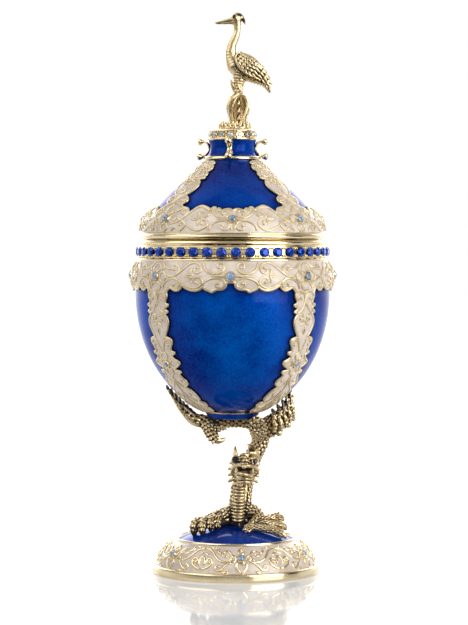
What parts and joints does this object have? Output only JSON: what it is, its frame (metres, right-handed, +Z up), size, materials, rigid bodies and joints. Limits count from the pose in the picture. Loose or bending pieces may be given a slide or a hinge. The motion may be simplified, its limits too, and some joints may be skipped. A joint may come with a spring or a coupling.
{
  "type": "ornamental egg box on dragon stem",
  "caption": "Egg-shaped enamelled metal box with a lift-off lid, a ring of round stones, a crane finial and a dragon stem on a domed foot.",
  "frame": {"origin": "on the floor, under the middle of the egg", "axes": "+Z up the height of the egg, -Y towards the front, the crane's beak towards -X"},
  "size_m": [0.0718, 0.0718, 0.189],
  "materials": {
    "blue_enamel": "deep royal blue translucent enamel over cast metal, glossy",
    "cream_enamel": "pearly cream enamel, satin gloss",
    "bright_gold": "pale gold plate, polished",
    "old_gold": "antique gold plate with dark patina in the recesses",
    "blue_stone": "faceted deep blue glass, foiled back",
    "pale_stone": "faceted light blue glass, foiled back",
    "clear_stone": "faceted clear glass, foiled back",
    "dark_stone": "small dark glass eyes"
  },
  "bodies": {
    "root": {"foot": "blue_enamel", "dragon_stem": "old_gold", "egg_cup": "blue_enamel", "egg_lid": "blue_enamel", "crane_finial": "old_gold", "belt_stone_01": "blue_stone", "belt_stone_02": "blue_stone", "belt_stone_03": "blue_stone", "belt_stone_04": "blue_stone", "belt_stone_05": "blue_stone", "belt_stone_06": "blue_stone", "belt_stone_07": "blue_stone", "belt_stone_08": "blue_stone", "belt_stone_09": "blue_stone", "belt_stone_10": "blue_stone", "belt_stone_11": "blue_stone", "belt_stone_12": "blue_stone", "belt_stone_13": "blue_stone", "belt_stone_14": "blue_stone", "belt_stone_15": "blue_stone", "belt_stone_16": "blue_stone", "belt_stone_17": "blue_stone", "belt_stone_18": "blue_stone", "belt_stone_19": "blue_stone", "belt_stone_20": "blue_stone", "belt_stone_21": "blue_stone", "belt_stone_22": "blue_stone", "belt_stone_23": "blue_stone", "belt_stone_24": "blue_stone", "belt_stone_25": "blue_stone", "belt_stone_26": "blue_stone", "belt_stone_27": "blue_stone", "belt_stone_28": "blue_stone", "belt_stone_29": "blue_stone", "belt_stone_30": "blue_stone", "belt_stone_31": "blue_stone", "belt_stone_32": "blue_stone", "belt_stone_33": "blue_stone", "belt_stone_34": "blue_stone", "belt_stone_35": "blue_stone", "belt_stone_36": "blue_stone", "belt_stone_37": "blue_stone", "belt_stone_38": "blue_stone", "belt_stone_39": "blue_stone", "belt_stone_40": "blue_stone", "belt_stone_41": "blue_stone", "belt_stone_42": "blue_stone", "cup_stone_01": "pale_stone", "cup_stone_02": "pale_stone", "cup_stone_03": "pale_stone", "cup_stone_04": "pale_stone", "cup_stone_05": "pale_stone", "cup_stone_06": "pale_stone", "cup_stone_07": "pale_stone", "cup_stone_08": "pale_stone"}
  },
  "joints": []
}
